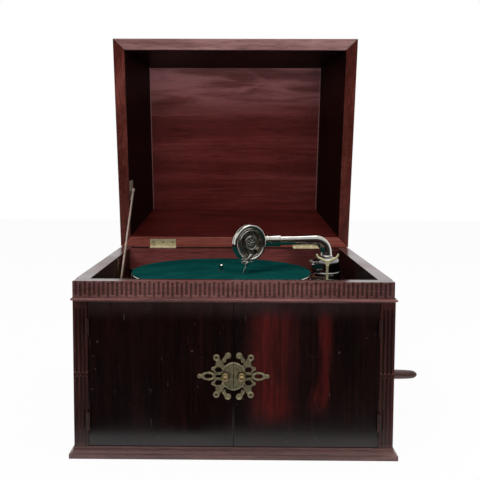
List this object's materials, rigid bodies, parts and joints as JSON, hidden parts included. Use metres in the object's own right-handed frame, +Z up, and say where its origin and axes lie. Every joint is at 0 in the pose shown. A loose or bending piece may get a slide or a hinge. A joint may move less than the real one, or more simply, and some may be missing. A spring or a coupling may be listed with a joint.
{
  "type": "table gramophone with internal horn",
  "caption": "Table gramophone: carved wooden case with an internal horn behind two doors, splayed lid on a stay, spring motor with crank, turntable, tone arm and soundbox.",
  "frame": {"origin": "middle of the case footprint on the table, on the plane it stands on", "axes": "+X to the right seen from the front, -Y to the front where the doors are, +Z up"},
  "size_m": [0.5308, 0.4902, 0.6337],
  "materials": {
    "mahogany": "french polished",
    "plain_wood": "plain",
    "grip_wood": "polished",
    "horn_iron": "black",
    "aged_brass": "aged",
    "brass": "polished",
    "copper": "coppery",
    "nickel": "nickel plated",
    "steel": "bright",
    "motor_iron": "grey",
    "mica": "satin",
    "felt": "felt"
  },
  "bodies": {
    "case": {"case_back": "mahogany", "case_sides": "mahogany", "case_floor": "mahogany", "door_sill": "mahogany", "base_moulding": "mahogany", "pilasters": "mahogany", "bead_moulding": "mahogany", "frieze_front": "mahogany", "frieze_sides": "mahogany", "motor_board": "mahogany", "board_cleats": "plain_wood", "mouth_board": "mahogany", "horn": "plain_wood", "horn_throat": "horn_iron", "crank_escutcheon": "aged_brass", "hinge_leaves_case": "brass", "door_butts_case": "aged_brass", "stay_guide": "aged_brass", "motor_plates": "motor_iron", "tone_arm_base": "nickel", "arm_rest": "brass", "needle_cup": "nickel", "board_fittings": "nickel"},
    "lid": {"lid_front_rail": "mahogany", "lid_back_rail": "mahogany", "lid_side_rails": "mahogany", "lid_panel": "mahogany", "hinge_leaves_lid": "brass", "stay_bracket": "aged_brass"},
    "stay": {"lid_stay": "brass"},
    "left_door": {"left_door": "mahogany", "left_door_butts": "aged_brass", "left_escutcheon": "aged_brass"},
    "right_door": {"right_door": "mahogany", "right_door_butts": "aged_brass", "right_escutcheon": "aged_brass"},
    "crank": {"crank_shaft": "steel", "crank_arm": "steel"},
    "grip": {"crank_grip": "grip_wood"},
    "winding": {"winding_arbor": "steel"},
    "turntable": {"platter": "nickel", "felt": "felt", "spindle": "nickel"},
    "intermediate": {"intermediate_wheel": "brass"},
    "barrel": {"spring_barrel": "steel", "mainspring": "steel"},
    "governor": {"governor": "steel", "governor_weights": "aged_brass"},
    "tonearm": {"tone_arm": "nickel"},
    "soundbox": {"soundbox_neck": "nickel", "soundbox_shell": "nickel", "diaphragm": "mica", "soundbox_guard": "nickel", "stylus_bar": "nickel", "needle": "steel"},
    "thumb_screw": {"needle_screw": "nickel"},
    "brake": {"brake_lever": "copper"},
    "regulator": {"speed_regulator": "nickel"},
    "link_rod": {"regulator_rod": "steel"},
    "pad": {"pad_lever": "brass"}
  },
  "joints": [
    {"name": "lid_hinge", "type": "hinge", "parent": "case", "child": "lid", "pos_m": [0, 0.1955, 0.2469], "axis": [-1, 0, 0], "range_deg": [-79.7, 0]},
    {"name": "stay_pivot", "type": "hinge", "parent": "lid", "child": "stay", "pos_m": [-0.193, 0.183, 0.357], "axis": [-1, 0, 0], "range_deg": [0, 79.7]},
    {"name": "left_door_hinge", "type": "hinge", "parent": "case", "child": "left_door", "pos_m": [-0.19965, -0.1978, 0.116], "axis": [0, 0, -1], "range_deg": [0, 110]},
    {"name": "right_door_hinge", "type": "hinge", "parent": "case", "child": "right_door", "pos_m": [0.19965, -0.1978, 0.116], "axis": [0, 0, 1], "range_deg": [0, 110]},
    {"name": "crank_turn", "type": "hinge", "parent": "case", "child": "crank", "pos_m": [0.2, 0, 0.16], "axis": [1, 0, 0], "continuous": true},
    {"name": "winding_turn", "type": "hinge", "parent": "case", "child": "winding", "pos_m": [-0.08, 0, 0.14], "axis": [0, 0, 1], "continuous": true},
    {"name": "grip_spin", "type": "hinge", "parent": "crank", "child": "grip", "pos_m": [0.25, 0, 0.059], "axis": [1, 0, 0], "continuous": true},
    {"name": "turntable_spin", "type": "hinge", "parent": "case", "child": "turntable", "pos_m": [-0.0216, 0.0189, 0.229], "axis": [0, 0, -1], "continuous": true},
    {"name": "intermediate_turn", "type": "hinge", "parent": "case", "child": "intermediate", "pos_m": [-0.03797, -0.0187, 0.1], "axis": [0, 0, -1], "continuous": true},
    {"name": "barrel_turn", "type": "hinge", "parent": "case", "child": "barrel", "pos_m": [-0.08, 0, 0.12], "axis": [0, 0, -1], "continuous": true},
    {"name": "governor_spin", "type": "hinge", "parent": "case", "child": "governor", "pos_m": [0, 0.0434, 0.1245], "axis": [-1, 0, 0], "continuous": true},
    {"name": "tonearm_swing", "type": "hinge", "parent": "case", "child": "tonearm", "pos_m": [0.1575, 0.052, 0.2785], "axis": [0, 0, 1], "range_deg": [-4, 71.5]},
    {"name": "soundbox_lift", "type": "hinge", "parent": "tonearm", "child": "soundbox", "pos_m": [0.1575, 0.052, 0.2785], "axis": [-0.9693, -0.246, 0], "range_deg": [0, 100]},
    {"name": "thumb_screw_turn", "type": "hinge", "parent": "soundbox", "child": "thumb_screw", "pos_m": [0.0208, -0.02137, 0.24674], "axis": [-0.7583, -0.4738, 0.4478], "range_deg": [0, 540]},
    {"name": "brake_turn", "type": "hinge", "parent": "case", "child": "brake", "pos_m": [0.148, -0.002, 0.22], "axis": [0, 0, -1], "range_deg": [0, 25]},
    {"name": "regulator_turn", "type": "hinge", "parent": "case", "child": "regulator", "pos_m": [-0.183, 0.1, 0.2], "axis": [0, 0, 1], "range_deg": [-15, 0]},
    {"name": "rod_slide", "type": "slide", "parent": "case", "child": "link_rod", "axis": [1, 0, 0], "range_m": [-0.0025, 0]},
    {"name": "pad_turn", "type": "hinge", "parent": "case", "child": "pad", "pos_m": [0.062, 0.074, 0.15], "axis": [0, 0, 1], "range_deg": [0, 13]}
  ],
  "couplings": [
    {"joint": "stay_pivot", "follows": "lid_hinge", "ratio": -1},
    {"joint": "winding_turn", "follows": "crank_turn", "ratio": 0.5},
    {"joint": "intermediate_turn", "follows": "turntable_spin", "ratio": -0.17143},
    {"joint": "barrel_turn", "follows": "turntable_spin", "ratio": 0.025714},
    {"joint": "governor_spin", "follows": "turntable_spin", "ratio": 10},
    {"joint": "regulator_turn", "follows": "rod_slide", "rad_per_m": 83.333},
    {"joint": "pad_turn", "follows": "rod_slide", "rad_per_m": -71.429}
  ]
}
